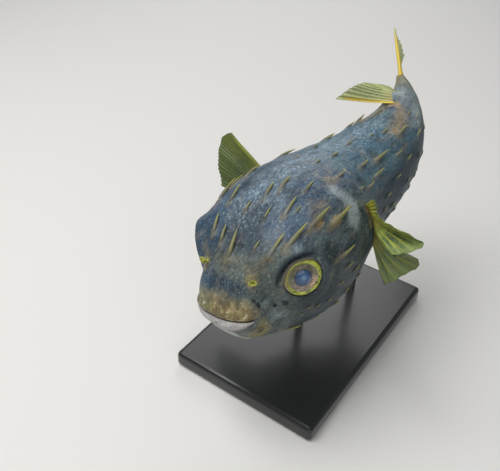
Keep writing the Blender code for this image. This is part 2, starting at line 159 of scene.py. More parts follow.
def bodyNormal(station, angle):
    along = bodyPoint(station + 0.004, angle) - bodyPoint(station - 0.004, angle)
    around = bodyPoint(station, angle + 2) - bodyPoint(station, angle - 2)
    return unit(np.cross(along, around))


tilt = math.radians(body["noseDown"])
poseTurn = np.array(((1, 0, 0), (0, math.cos(tilt), -math.sin(tilt)),
                     (0, math.sin(tilt), math.cos(tilt))))
poseShift = np.array((0, 0, body["holdHeight"])) - poseTurn @ (
    axisPoint(body["holdStation"]) * body["length"])


def toRow(points):
    return points @ poseTurn.T + poseShift


def addObject(name, data):
    thing = bpy.data.objects.new(name, data)
    bpy.context.scene.collection.objects.link(thing)
    return thing


def makePiece(name, points, faces, material, replaces=(), values=None, uvs=None):
    mesh = bpy.data.meshes.new(name)
    mesh.from_pydata(toRow(points).tolist(), [], faces)
    for key, amount in (values or {}).items():
        amount = np.asarray(amount, np.float32)
        kind, field = ("FLOAT_VECTOR", "vector") if amount.ndim > 1 else ("FLOAT", "value")
        mesh.attributes.new(key, kind, "POINT").data.foreach_set(field, amount.ravel())
    if uvs is not None:
        mesh.uv_layers.new(name="OFBake").data.foreach_set("uv", np.asarray(uvs, np.float32).ravel())
    mesh.materials.append(material)
    mesh.shade_smooth()
    mesh.update()
    piece = addObject(name, mesh)
    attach(piece, "root")
    if replaces:
        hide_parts(*replaces)


def tubeFaces(rings, sides, first=0, order=1):
    # quads of a grid closed around; order -1 turns them over
    ring, side = np.meshgrid(np.arange(rings - 1), np.arange(sides), indexing="ij")
    after = (side + 1) % sides
    quads = np.stack((ring * sides + side, ring * sides + after,
                      (ring + 1) * sides + after, (ring + 1) * sides + side), -1) + first
    return quads.reshape(-1, 4)[:, ::order].tolist()


def fanFaces(first, sides, tip, order=1):
    # triangles from one ring of a grid to a tip
    return [[first + k, first + (k + 1) % sides, tip][::order] for k in range(sides)]


def ringsAround(line, radii, across, over):
    # rings of points round a line, a radius for each ring and side
    turn = 2 * np.pi * np.arange(radii.shape[1])[:, None] / radii.shape[1]
    way = np.cos(turn) * across[..., None, :] + np.sin(turn) * over[..., None, :]
    return (line[:, None] + radii[..., None] * way).reshape(-1, 3)


def colour(hexCode):
    parts = [int(hexCode[i:i + 2], 16) / 255 for i in (0, 2, 4)]
    return tuple(c / 12.92 if c <= 0.04045 else ((c + 0.055) / 1.055) ** 2.4 for c in parts) + (1.0,)


def setInputs(tree, node, inputs):
    # an input is a number, another node's output or the name of one of the mesh's own values
    for key, value in inputs.items():
        if isinstance(value, str):
            value = addNode(tree, "Attribute", output="Fac", attribute_name=value)
        if isinstance(value, bpy.types.NodeSocket):
            tree.links.new(value, node.inputs[key])
        else:
            node.inputs[key].default_value = value


def addNode(tree, kind, inputs=None, output=0, **settings):
    node = tree.nodes.new("ShaderNode" + kind)
    for key, value in settings.items():
        setattr(node, key, value)
    setInputs(tree, node, inputs or {})
    return node.outputs[output]


def newMaterial(name):
    material = bpy.data.materials.new(name)
    material.use_nodes = True
    return material, material.node_tree


def shade(material, **inputs):
    tree = material.node_tree
    setInputs(tree, tree.nodes["Principled BSDF"], {key.replace("_", " "): inputs[key] for key in inputs})
    return material


def noiseAt(tree, size, detail=3.0, stretch=None, rough=0.55, place=None):
    # noise whose grains are about size millimetres across
    place = place or addNode(tree, "TexCoord", output="Object")
    if stretch:
        place = addNode(tree, "Mapping", {"Vector": place, "Scale": stretch})
    return addNode(tree, "TexNoise", {"Vector": place, "Scale": 0.5 / (size * mm), "Detail": detail,
                                      "Roughness": rough})


def weigh(tree, *terms, plus=0.0):
    # the sum of some values, each times its weight if it has one
    for term in terms:
        value, weight = term if isinstance(term, tuple) else (term, 1.0)
        plus = addNode(tree, "Math", {0: value, 1: weight, 2: plus}, operation="MULTIPLY_ADD")
    return plus


def shareOf(tree, *masks):
    # where all masks show: a mask is a value, alone or with the range it rises over and its most
    shares = []
    for mask in masks:
        if isinstance(mask, tuple):
            value, low, high, most = (mask + (1.0,))[:4]
            mask = addNode(tree, "MapRange", {0: value, 1: low, 2: high, 4: most},
                           interpolation_type="SMOOTHSTEP")
        shares.append(mask)
    while len(shares) > 1:
        shares.append(addNode(tree, "Math", {0: shares.pop(), 1: shares.pop()}, operation="MULTIPLY"))
    return shares[0]


def paint(tree, base, *layers):
    # lays colours over a base, one after another, each where its masks show
    base = colour(base) if isinstance(base, str) else base
    for over, *masks in layers:
        over = colour(over) if isinstance(over, str) else over
        base = addNode(tree, "Mix", {0: shareOf(tree, *masks), 6: base, 7: over}, 2, data_type="RGBA")
    return base


spineTable = {
    # station, angle from the side, length in mm; the back's own line is at 90
    "back": ((0.10, 90, 18), (0.27, 90, 11)),
    "left": (
        (0.14, 75, 6.5), (0.22, 82, 8), (0.24, 71, 14), (0.30, 85, 12), (0.32, 69, 10), (0.43, 82, 6),
        (0.49, 79, 8), (0.59, 83, 5), (0.67, 77, 4.5), (0.71, 69, 5), (0.14, 60, 16), (0.26, 64, 5),
        (0.42, 59, 9), (0.54, 53, 10), (0.62, 47, 13), (0.74, 51, 11), (0.82, 57, 5.5), (0.17, 53, 19),
        (0.25, 47, 18), (0.29, 35, 21), (0.46, 37, 5), (0.50, 32, 9), (0.57, 33, 11), (0.69, 32, 7),
        (0.79, 21, 8), (0.26, 11, 14), (0.59, 3, 6), (0.65, 9, 6), (0.71, 14, 7), (0.76, -2, 5),
        (0.27, 1, 7), (0.56, -4, 6), (0.61, -14, 6), (0.69, -9, 5), (0.83, 5, 5), (0.84, 36, 4)),
    "right": (
        (0.13, 79, 12), (0.15, 67, 13), (0.22, 86, 8), (0.24, 71, 13), (0.25, 51, 19), (0.32, 64, 14),
        (0.42, 82, 5), (0.44, 57, 14), (0.51, 76, 6), (0.58, 66, 8), (0.68, 55, 9), (0.79, 76, 5),
        (0.30, 36, 19), (0.50, 33, 9), (0.60, 45, 11), (0.74, 48, 10), (0.57, 29, 10), (0.69, 31, 7),
        (0.80, 22, 8), (0.26, 11, 13), (0.28, 0, 7), (0.59, 4, 6), (0.65, 10, 6), (0.71, 14, 6),
        (0.76, -2, 5), (0.83, 6, 5), (0.56, -5, 6), (0.62, -13, 6), (0.69, -9, 5)),
    # small ones of both sides: round the throat and under the eye
    "both": ((0.160, -12, 3.5), (0.126, -12, 3.0), (0.222, 5, 3.5), (0.238, -5, 4.0), (0.142, -8, 2.5),
             (0.090, -35, 13), (0.195, -13, 4.0), (0.30, -8, 6)),
    # rows of the belly: angle, first station, step
    "belly": ((-22, 0.26, 0.066), (-34, 0.22, 0.068), (-47, 0.17, 0.068), (-60, 0.20, 0.070),
              (-74, 0.16, 0.070), (-90, 0.20, 0.070)),
}


def placeSpines():
    found = []
    for sign, names in ((1, ("back", "left", "both")), (-1, ("right", "both"))):
        for name in names:
            for station, side, length in spineTable[name]:
                station, side = station + rng.uniform(-0.003, 0.003), side + rng.uniform(-1, 1)
                found.append((sign, station, side, length))
        for angle, first, step in spineTable["belly"][:6 if sign > 0 else 5]:  # the sixth is the middle
            for place in np.arange(first, 0.86, step):
                station, side = place + rng.uniform(-0.010, 0.010), angle + rng.uniform(-3, 3)
                length = (6.5 - 3.0 * station) * rng.uniform(0.8, 1.15)
                if not (0.38 < station < 0.50 and angle > -30):  # clear of the pectoral fin
                    found.append((sign, station, side, length))
    sign, station, side, length = np.array(found).T
    return np.stack((station, np.where(sign > 0, side, 180 - side), length * mm), -1)


spines = placeSpines()
stations, around, lengths = spines.T
spineRoots, spineNormals = bodyPoint(stations, around), bodyNormal(stations, around)
reach = stations + lengths / body["length"]
spineTips = bodyPoint(reach, around) + bodyNormal(reach, around) * (
    lengths * rng.uniform(0.10, 0.18, len(spines)))[:, None]
spineTails = unit(spineTips - spineRoots)
spineSides = unit(np.cross(spineTails, spineNormals))
print("spines placed:", len(spines))


patches = {
    # markings of the skin and the spines' coat, with painted light and shade among them
    # strength, station, angle from the side, spread along and around
    "dusky_bars_and_shade": ((1.0, 0.245, 17, 0.03, 15), (1.1, 0.165, -1, 0.045, 9), (0.6, 0.30, 76, 0.035, 14),
             (0.5, 0.215, -8, 0.04, 10), (0.6, 0.49, 42, 0.03, 16), (0.6, 0.63, 50, 0.025, 18),
             (0.55, 0.13, -26, 0.04, 10)),
    "pale_flank_and_sheen": ((1.1, 0.385, 34, 0.024, 11), (0.9, 0.375, 53, 0.026, 8), (1.1, 0.36, 24, 0.024, 10),
               (0.9, 0.84, 34, 0.05, 18), (0.55, 0.185, 44, 0.02, 8), (0.5, 0.085, -3, 0.032, 13),
               (0.6, 0.30, 48, 0.028, 8), (0.6, 0.075, 20, 0.022, 11), (0.6, 0.582, 15, 0.03, 4),
               (0.9, 0.875, 76, 0.035, 26)),
    "snout": ((1.0, 0.05, 90, 0.02, 62), (0.8, 0.15, 88, 0.04, 24), (1.0, 0.225, 87, 0.05, 9)),
    "tan": ((0.8, 0.092, 62, 0.022, 16), (0.5, 0.135, 58, 0.03, 12), (0.55, 0.105, 86, 0.022, 18),
            (0.5, 0.275, 47, 0.03, 12)),
    "haze": ((0.9, 0.765, 60, 0.055, 20), (0.6, 0.82, 72, 0.035, 16), (0.7, 0.305, 52, 0.035, 9),
             (0.6, 0.395, 60, 0.032, 9), (0.4, 0.215, 50, 0.03, 9)),
    "warm": ((0.9, 0.846, 84, 0.014, 12), (1.15, 0.312, 35, 0.024, 4), (0.85, 0.745, 57, 0.014, 6),
             (0.75, 0.272, 45.5, 0.022, 5), (0.8, 0.428, 20, 0.012, 7), (0.5, 0.62, 47, 0.018, 8)),
    "gilt": ((1.0, 0.05, -12, 0.018, 18), (0.8, 0.034, -38, 0.02, 22), (0.6, 0.425, 13, 0.014, 16),
             (0.9, 1.000, 90, 0.055, 200), (1.2, 0.084, 56, 0.017, 11)),
    "olive": ((0.7, 0.222, 5, 0.01, 4), (0.7, 0.16, -12, 0.008, 4), (0.7, 0.126, -12, 0.008, 4),
              (0.7, 0.239, -5, 0.009, 4)),
    "freckle": ((1.3, 0.092, 6, 0.005, 3), (1.3, 0.111, 4, 0.006, 3), (1.3, 0.059, 23, 0.005, 5),
                (1.0, 0.055, 35, 0.005, 6), (0.9, 0.141, 88, 0.007, 3)),
    "pale_bars": ((1.0, 0.497, 61, 0.04, 9),),
    "pale": ((0.35, 0.68, 78, 0.08, 14),),
}
ringsAt = (0.402, 69.0)  # the middle of the painted caustic rings: light from rippling water painted on the back


def markings(station, angle):
    side = sideOf(angle)
    marks = {name: np.clip(sum(most * bell(station, middle, along) * bell(side, where, around)
                               for most, middle, where, along, around in rows), 0, 1)
             for name, rows in patches.items()}
    # the band along the crest is a painted highlight
    band = bell(angle, 93 + 90 * np.maximum(0, 0.28 - station), 8)
    marks["pale"] += band * smooth(station, 0.15, 0.26) * smooth(station, 0.80, 0.68)
    # painted shade on the far (right) brow, added to the snout's dark blue
    marks["snout"] = np.minimum(1, marks["snout"] + 0.75 * bell(station, 0.14, 0.045) * bell(
        side, 66, 12) * smooth(angle, 84, 100))
    across, upward = crossSection(station, angle)
    return marks | {
        "rest": np.stack((across, station, upward), -1) * body["length"],  # place on the straight body
        "slate": smooth(side, 28, 68) * smooth(station, 0.08, 0.20),
        "navy_flank_and_shade": smooth(station, 0.41, 0.50) * smooth(station, 0.88, 0.74) * bell(side, 2, 22),
        "teal": smooth(station, 0.40, 0.54) * smooth(side, -50, -20) * smooth(station, 0.87, 0.77),
        # the right side of the head, where bluish shade is painted
        "blue": smooth(angle, 88, 118) * smooth(angle, 215, 190) * smooth(station, 0.30, 0.16),
        "under": smooth(-side, -24, 14) * smooth(station, 0.95, 0.84) * smooth(station, 0.08, 0.15),
        "stalk": smooth(station, 0.80, 0.93),
        "face": smooth(station, 0.24, 0.10),
        "belly": smooth(side, -30, -62),
        "arcs": np.linalg.norm(bodyPoint(station, angle) - bodyPoint(*ringsAt), axis=-1) / mm,
    }


skinShape = {
    "noseRings": 56, "rings": (116, 52, 92), "sides": 360,  # rings of head, chest and rear
    # folds of the cheek round the mouth's corner: radius and depth in mm
    "cornerFolds": ((4.2, 0.50), (6.4, 0.80), (8.6, 0.85), (11.0, 0.50)),
    "gill": 0.405, "mound": 1.0 * mm,
}


def ringStations():
    nose, count = body["noseRound"], skinShape["noseRings"]
    pieces = [nose * (1 - np.cos(np.pi / 2 * np.arange(1, count + 1) / count))]
    ends = nose, 0.30, 0.50, body["tailEnd"]
    for low, high, count in zip(ends, ends[1:], skinShape["rings"]):
        pieces.append(low + (high - low) * np.arange(1, count + 1) / count)
    return np.concatenate(pieces)


def eyeAxes(sign):
    # the middle of the eye, the way it looks, towards its brow and towards the snout
    angle = eye["angle"] if sign > 0 else 180 - eye["angle"]
    tail, left, up = heading(eye["station"])
    look = unit(left * eye["look"][0] * sign + tail * eye["look"][1] + up * eye["look"][2])
    over = unit(up - look * (up @ look))
    return bodyPoint(eye["station"], angle) - look * eye["sink"], look, over, np.cross(look, over) * sign


def lipShare(x):
    # how full the lower lip is, 1 in the middle and 0.24 at the corners
    return np.maximum(0.24, 1 - 0.8 * (np.abs(x) / mouth["half"]) ** 2.4)


def overMouth(x, z):
    # millimetres over the mouth line
    return (z - mouthLine(x)) * body["length"] / mm


def skinHeight(station, angle, x, z):
    # height over the plain body; worked out in millimetres
    side, down, full = sideOf(angle), overMouth(x, z), lipShare(x)
    across, along, upward = (place * body["length"] / mm for place in (x, station, z))
    gape = (smooth(station, mouth["jaw"] * 1.7, mouth["jaw"] * 1.05)
            * smooth(np.abs(x), mouth["half"] * 1.03, mouth["half"] * 0.93))
    wrinkles = np.sin(across / 0.55 + 2.0 * np.sin(down / 1.9))
    height = gape * (
        1.3 * bell(down, 2.6, 2.3) - 0.5 * bell(down, 6.2, 1.4)  # upper lip and the crease over it
        - 2.0 * bell(down, 0, 0.38) + 0.09 * wrinkles * bell(down, 2, 4.5)  # the gap between the lips
        # lower lip and the crease under it
        + 1.7 * bell(down, -3.9 * full, 3.2 * full + 0.3) - 0.8 * bell(down, -8.9 * full, 1.2))
    jaw = np.hypot(np.abs(across) - mouth["half"] * body["length"] / mm, down)
    corner = np.hypot(jaw, along - mouth["jaw"] * body["length"] / mm) + 0.5 * np.sin(angle / 4.0)
    cheek = smooth(station, 0.030, 0.048) * smooth(side, -42, -20) * smooth(side, 30, 14)
    for radius, depth in skinShape["cornerFolds"]:
        height = height - depth * bell(corner, radius, 0.7) * cheek
    gill = along - (skinShape["gill"] + 0.010 * bell(side, 7, 14)) * body["length"] / mm
    reach = smooth(side, -14, -7) * smooth(side, 29, 22)
    height = height + (0.6 * bell(gill, -2.6, 2.0) - 1.3 * bell(gill, 0, 0.7)) * reach
    swell = (np.sin(across / 3.1 + 1.7 * np.sin(along / 6.3)) * np.sin(along / 3.7 + upward / 5.2)
             + 0.7 * np.sin(upward / 2.3 + along / 7.9) * np.sin(along / 2.9 - across / 4.4))
    return (height + 0.16 * swell * smooth(station, 0.03, 0.10)) * mm


def seatEye(points, sign):
    # moves the skin to a lid and folds round one eye; also how far each point is lid, and how much
    # painted shade falls on it in the trench round the lid
    centre, look, over, ahead = eyeAxes(sign)
    away = (points - centre) / mm
    level = away @ look
    flat = away - level[..., None] * look
    rho = np.linalg.norm(flat, axis=-1)
    flat = flat / np.maximum(rho, 1e-6)[..., None]
    near = (np.linalg.norm(away, axis=-1) < 32) & (level > -22)
    cover = smooth(flat @ unit(over + 0.35 * ahead), 0.0, 1.0)  # 1 over the eye, 0 under it
    out = rho - (eye["radius"] + 0.1 * mm - eye["cover"] * cover) / mm  # beyond the lid's edge
    snug = 0.9 * np.sign(out) * np.minimum(1, np.abs(out) / 0.9) ** 2
    slide = np.where(np.abs(out) < 0.9, snug - out, 0)
    out = out + slide
    rest = smooth(out, 0.9, 9.5)
    target = (0.1 + 1.8 * cover) * (1 - rest) + level * rest
    target = target + (0.35 * bell(out, 0.9, 0.8) - (0.3 + 2.4 * cover) * bell(out, 3.0, 1.1)
                       + (0.3 + 1.9 * cover) * bell(out, 6.0, 2.6) - 0.35 * cover * bell(out, 10.5, 1.2))
    hole = smooth(out, 0, -0.9)
    target = target * (1 - hole) - 6.0 * hole
    shift = ((target - level)[..., None] * look + slide[..., None] * flat) * mm
    lid = smooth(out, 2.2, 1.0) * (0.3 + 0.7 * cover)
    eye_trench_shade = ((0.25 + 0.75 * cover) * bell(out, 3.4, 1.5) + 0.6 * cover * bell(out, 5.2, 2.6)
            + 0.4 * bell(out, 0.1, 0.4))
    return points + np.where(near[..., None], shift, 0), lid * near, eye_trench_shade * near


def mouthMasks(station, x, z):
    # the gap between the lips, dark with painted shade and the upper lip's painted shadow over a reddish
    # mouth, the tan muzzle over it and the pale lower lip under it
    down, full, across = overMouth(x, z), lipShare(x), np.abs(x) / mouth["half"]
    front, wide = smooth(station, 0.046, 0.036), smooth(across, 1.03, 0.96)
    blunt = smooth(across + ((down + 1.3) / 7) ** 2, 1.02, 0.96)
    lip = smooth(-down, 0, 0.7) * smooth(-down / full, 12, 8.5) * front
    muzzle = smooth(down, 0, 0.8) * smooth(down, 18, 5) * smooth(station, 0.068, 0.026)
    return {"gape": bell(down, 0, 0.55) * front * wide, "muzzle": muzzle,
            "lip": lip * np.where(full < 0.5, blunt, wide)}


def unwrap(station, angle):
    # the skin's own place on the OFBake map
    return np.stack((angle / 360 * 0.985 + 0.002, station * 0.96 + 0.01), -1)


def buildSkin(material):
    sides = skinShape["sides"]
    angles = 360 * (np.arange(sides) + 0.5) / sides
    station, angle = np.meshgrid(ringStations(), angles, indexing="ij")
    x, z = crossSection(station, angle)
    points = bodyPoint(station, angle)
    around = np.roll(points, -1, axis=1) - np.roll(points, 1, axis=1)
    normals = unit(np.cross(np.gradient(points, axis=0), around))
    height = skinHeight(station, angle, x, z)
    glow, lid, eye_trench_shade = (np.zeros_like(height) for _ in range(3))
    for root, tail, across, (_, _, length) in zip(spineRoots, spineTails, spineSides, spines):
        away = points - root
        ahead, beside = away @ tail, away @ across
        size = math.sqrt(length / (13 * mm))
        long = np.where(ahead > 0, 0.34 * length + 1.2 * mm, 0.20 * length + 1.0 * mm)
        mound = bell(ahead, 0, long) * bell(beside, 0, 1.7 * mm * size)
        height = height + skinShape["mound"] * size * mound * (np.linalg.norm(away, axis=-1) < 20 * mm)
        trail = np.where(ahead > 0, 4.0 * mm * size, 6.5 * mm * size)
        glow = np.maximum(glow, bell(ahead, 0, trail) * bell(beside, 0, 3.0 * mm * size) * min(1, size))
    for label in ("left", "right"):
        near = np.linalg.norm(points - bodyPoint(*nostril[label]), axis=-1)
        height = height + 1.2 * mm * bell(near, 0, 5 * mm)
        glow = np.maximum(glow, 0.8 * bell(near, 0, 4 * mm))
    points = points + normals * height[..., None]
    for sign in (1, -1):
        points, *shares = seatEye(points, sign)
        lid, eye_trench_shade = np.maximum(lid, shares[0]), np.maximum(eye_trench_shade, shares[1])
    # the end of the stalk closes in a small dome
    last, tail, domes = points[-1], heading(body["tailEnd"])[0] * 2.0 * mm, 6
    middle = last.mean(axis=0)
    turns = np.pi / 2 * np.arange(1, domes) / domes
    dome = [middle + (last - middle) * math.cos(turn) + tail * math.sin(turn) for turn in turns]
    ends = np.array((bodyPoint(0.0, 0.0), middle + tail))
    points = np.concatenate((points.reshape(-1, 3), *dome, ends))
    rings = len(station) + domes - 1
    tip, end = rings * sides, rings * sides + 1
    faces = (tubeFaces(rings, sides, order=-1) + fanFaces(0, sides, tip)
             + fanFaces((rings - 1) * sides, sides, end, -1))
    allStations = np.append(station, [body["tailEnd"]] * (domes - 1) * sides + [0.0, body["tailEnd"]])
    allAngles = np.append(angle, (*np.tile(angles, domes - 1), 0.0, 0.0))
    values = markings(allStations, allAngles)
    extra = np.zeros(len(points) - station.size)
    for key, amount in (mouthMasks(station, x, z) | {"glow": glow, "eye_trench_shade": eye_trench_shade, "lid": lid}).items():
        values[key] = np.append(amount, extra)
    corner = np.concatenate(faces)
    turned = allAngles[corner]
    quads, fans = np.split(turned, [(rings - 1) * sides * 4])
    quads = quads.reshape(-1, 4)
    quads[:, 1:3] += (quads[:, 1:3] < quads[:, :1]) * 360  # the last column runs on past the turn
    fans = fans.reshape(-1, 3)
    fans[:] = fans.max(axis=1, keepdims=True)
    makePiece("skin", points, faces, material,
              ("head", "lower_jaw", "trunk", "tail_stalk"), values,
              unwrap(allStations[corner], turned))


skinLayers = (
    ("face", "585f56", 0.25, 0.95, 0.60),  # greyer face
    ("stalk", "7b8682", 0.20, 0.90, 0.80),  # paler stalk
    ("teal", "4f6e7b", 0.25, 0.90, 0.68),  # blue-green of the rear flank
    ("pale_flank_and_sheen", "a0adb1", 0.25, 1.00, 0.85),  # light flank behind the gill and paler patches on the stalk, partly the fish's own pale tone and partly painted light and painted sheen
    ("dusky_bars_and_shade", "273133", 0.20, 0.85, 0.88),  # dusky bars, and painted shade under the eye, on the rear cheek and on the throat
    ("snout", "2c3b47", 0.20, 0.90, 0.85),  # dark blue snout, and painted shade on the far (right) brow
    ("blue", "2f485f", 0.25, 0.90, 0.85),  # painted bluish shade on the right side of the brow
    ("tan", "5d573f", 0.25, 0.95, 0.75),  # tan round the nostrils and over them
    ("haze", "96825f", 0.10, 1.10, 0.75),  # tan haze before the dorsal fin
    ("warm", "b08b4a", 0.20, 1.05, 0.85),  # rusty flush
    ("gilt", "857a50", 0.25, 0.95, 0.85),  # golden brown chin and fin root
    ("olive", "7a7a42", 0.30, 0.90, 0.85),  # yellow-olive blotches
    ("freckle", "10171d", 0.30, 0.70, 0.95),
    ("pale", "6d8290", 0.30, 1.00, 0.40),  # pale band along the back: a painted highlight along the crest, with some pale mottling
    ("belly", "b3b8b0", 0.25, 0.85, 0.95),
    ("glow", "7a6f4e", 0.35, 1.00, 0.60),  # tan flush along each spine
)


def skinColour(tree):
    # damp scaleless skin: slate blue back, grey-brown head, navy flank, white belly; painted highlights
    # and painted shade are laid over these where noted
    rest = addNode(tree, "Attribute", output="Vector", attribute_name="rest")
    drift = addNode(tree, "TexNoise", {"Vector": rest, "Scale": 0.5 / (7 * mm), "Detail": 2.0}, "Color")
    drift = addNode(tree, "VectorMath", {0: drift, 1: (0.5, 0.5, 0.5)}, operation="SUBTRACT")
    drift = addNode(tree, "VectorMath", {0: drift, "Scale": 5 * mm}, operation="SCALE")
    flow = addNode(tree, "VectorMath", {0: rest, 1: drift}, operation="ADD")
    patch = noiseAt(tree, 4.0, 5.0, (1.0, 0.6, 1.0), 0.62, flow)
    streak = noiseAt(tree, 2.2, 4.0, (1.0, 0.30, 1.0), 0.6, flow)
    mauve = noiseAt(tree, 2.6, 4.0, (1.0, 0.5, 1.0), 0.6, flow)
    ragged = weigh(tree, patch, plus=-0.5)
    back = paint(tree, "3b5068", ("5b6d7b", (noiseAt(tree, 14.0, place=rest), 0.38, 0.62)))
    # pale and dark dashes half a millimetre wide, strongest on the back
    dashes = noiseAt(tree, 0.55, 2.5, (1.0, 0.42, 1.0), 0.65, flow)
    strong = shareOf(tree, (weigh(tree, ("slate", 0.35), "pale"), 0.0, 1.2, 0.60))
    strong = weigh(tree, strong, plus=0.12)
    # pale marks on the back: broken rings about 7 mm round, painted caustic light from rippling water,
    # and a row of short pale bars
    arcs = addNode(tree, "Math", {0: weigh(tree, ("arcs", 3.6), (patch, 9.0))}, operation="SINE")
    arcs = shareOf(tree, (arcs, 0.60, 0.95), ("arcs", 7.5, 6.0), ("arcs", 2.5, 4.0))
    bars = weigh(tree, noiseAt(tree, 1.5, 1.0, (0.35, 1.0, 0.35), 0.5, flow), plus=-0.5)
    bars = addNode(tree, "Math", {0: bars}, operation="ABSOLUTE")
    bars = shareOf(tree, (bars, 0.030, 0.008), ("pale_bars", 0.25, 0.6))
    marks = addNode(tree, "Math", {0: arcs, 1: bars}, operation="MAXIMUM")
    return paint(
        tree, "3e4b52", ("5a6665", (patch, 0.36, 0.64)),
        (back, (weigh(tree, "slate", ragged), 0.15, 0.85, 0.9)),
        *((over, (weigh(tree, name, (ragged, 1.2)), low, high, most), (name, 0.02, 0.25))
          for name, over, low, high, most in skinLayers),
        ("786e62", (mauve, 0.54, 0.68, 0.45), ("belly", 0.5, 0.1)),
        ("1f2d3a", (streak, 0.48, 0.30, 0.60)),
        ("76817e", (streak, 0.56, 0.72, 0.25)),
        ("8ea5b5", (dashes, 0.52, 0.64), strong, (streak, 0.30, 0.62, 1.5)),
        ("182633", (dashes, 0.47, 0.34, 0.50)),
        ("a3a893", (noiseAt(tree, 0.9, 2.0, place=rest), 0.60, 0.72, 0.35)),
        ("232a2b", (noiseAt(tree, 0.45, 1.0, place=rest), 0.42, 0.30, 0.35)),
        ("1c2732", "face", ("slate", 0.05, 0.6, 0.22)),  # darker crown
        ("031b2c", (weigh(tree, "navy_flank_and_shade", (ragged, 0.8)), 0.15, 0.9, 0.62)),  # lower flank: dark navy of its own, deepened with painted shade
        # pale caustic rings, painted light, and the short pale bars
        ("b8ae80", marks, (streak, 0.44, 0.56, 0.65)),
        # painted shade on the underside, fading out on the white belly
        ("0f2130", "under", ("belly", 0.8, 0.1, 0.55)))


def skinMaterial():
    # matt damp skin with fine wrinkles; a tan, flecked muzzle and a smooth pale lower lip
    material, tree = newMaterial("damp_fish_skin")
    rest = addNode(tree, "Attribute", output="Vector", attribute_name="rest")
    mottle = noiseAt(tree, 2.4, 4.0, place=rest)
    upper = paint(tree, "6e5f3b", ("a3946a", (mottle, 0.38, 0.64)),
                  ("453f2a", (noiseAt(tree, 0.9, 2.0, (1.0, 0.6, 0.25), place=rest), 0.46, 0.32, 0.7)),
                  # greener muzzle on the right side: painted shade
                  ("6a704e", weigh(tree, ("blue", 0.5))))
    lower = paint(tree, "9f9d9b", ("bbb7b4", (noiseAt(tree, 1.2, place=rest), 0.35, 0.65)))
    base = paint(tree, skinColour(tree),
                 (upper, (weigh(tree, "muzzle", (mottle, 0.8), plus=-0.4), 0.05, 1.0, 0.92)),
                 ("bdbca4", (noiseAt(tree, 1.1, place=rest), 0.60, 0.70), ("muzzle", 0.2, 1.0, 0.8)),
                 # the gap between the lips is darkened with painted shade and the upper lip's painted
                 # shadow
                 (lower, ("lip", 0.1, 0.9, 0.95)), ("3a211d", ("gape", 0.15, 0.8)),
                 # painted shade in the trench between the eye and the brow
                 ("746b58", ("lid", 0.2, 0.9, 0.85)), ("182530", ("eye_trench_shade", 0.1, 0.9, 0.85)))
    height = weigh(tree, noiseAt(tree, 0.5, 2.0, (1.0, 0.5, 1.0), place=rest),
                   (noiseAt(tree, 2.6, place=rest), 1.5))
    bump = addNode(tree, "Bump", {"Height": height, "Strength": 0.6, "Distance": 0.35 * mm})
    return shade(material, Base_Color=base, Normal=bump, Roughness=0.48, IOR=1.34, Coat_Weight=0.06,
                 Coat_Roughness=0.28)


spineShape = {"rings": 18, "sides": 12, "root": 0.35, "tip": 0.14 * mm, "patch": 0.003,
              # along it, and its thickness there
              "taper": np.array(((-0.16, 0.15), (-0.04, 0.62), (0.10, 0.98), (0.22, 1.0), (0.42, 0.84),
                                 (0.65, 0.58), (0.85, 0.30), (0.96, 0.12), (1.0, 0.06)))}


def buildSpines(material):
    rings, sides = spineShape["rings"], spineShape["sides"]
    perSpine = rings * sides + 1
    t = np.linspace(spineShape["taper"][0, 0], 1.0, rings)
    place = np.stack((np.append(np.tile(np.arange(sides) / sides, rings), 0.5),
                      np.append(np.repeat(np.linspace(0, 1, rings), sides), 1.0)), -1) - 0.5
    points, faces, uvs = [], [], []
    for n, (station, angle, length) in enumerate(spines):
        sway = rng.uniform(-0.06, 0.06)
        root, tail, up, across = spineRoots[n], spineTails[n], spineNormals[n], spineSides[n]
        size = math.sqrt(length / mm) * mm
        line = (root + up * 0.05 * size + length * (
            np.outer(t, tail) + np.outer(0.10 * t * (1 - t), up) + np.outer(sway * t * t, across)))
        radius = spineShape["root"] * size * np.interp(t, *spineShape["taper"].T)
        radius = np.maximum(radius, spineShape["tip"])
        radius[-1] = 0.02 * mm
        thrust = unit(np.gradient(line, axis=0))
        crossways = unit(np.cross(thrust, up))
        over = 0.85 * np.cross(crossways, thrust)
        points.append(ringsAround(line, np.tile(radius[:, None], sides), crossways, over))
        points.append((line[-1] + thrust[-1] * 0.1 * mm)[None])
        first = n * perSpine
        faces += tubeFaces(rings, sides, first, -1) + fanFaces(
            first + (rings - 1) * sides, sides, first + rings * sides, -1)
        uvs.append(unwrap(station, angle % 360) + spineShape["patch"] * place)
    points = np.concatenate(points)
    values = {key: np.repeat(amount, perSpine, axis=0)
              for key, amount in markings(stations, around).items()}
    values["glow"] = np.ones(len(points))
    values["out"] = np.tile(np.append(np.repeat(t, sides), 1.0), len(spines))
    makePiece("spine_coat", points, faces, material, (), values,
              np.concatenate(uvs)[np.concatenate(faces)])


def spineMaterial():
    # fleshy sheath in the skin's colour, worn to yellow horn towards the tip
    material, tree = newMaterial("spine_horn_and_sheath")
    worn = weigh(tree, "out", (noiseAt(tree, 1.2), 0.5), plus=-0.25)
    base = paint(tree, skinColour(tree), ("77764e", (worn, 0.05, 0.45, 0.85)),
                 ("929248", (worn, 0.40, 0.85, 0.9)), ("b2ad62", (worn, 0.80, 1.05)))
    return shade(material, Base_Color=base, Roughness=0.45, IOR=1.45, Coat_Weight=0.15,
                 Coat_Roughness=0.3)


eyeShape = {
    "sides": 72, "pupil": 4.9,  # radii and heights in mm
    "radii": (0, 5.0, 8.0, 10.0, 11.2, 11.8), "heights": (1.5, 1.5, 1.2, 1.0, 0.2, -1.4),
    "rimRadii": (11.8, 11.7, 11.4, 11.0), "rimHeights": (-3.5, -5.0, -6.5),
}


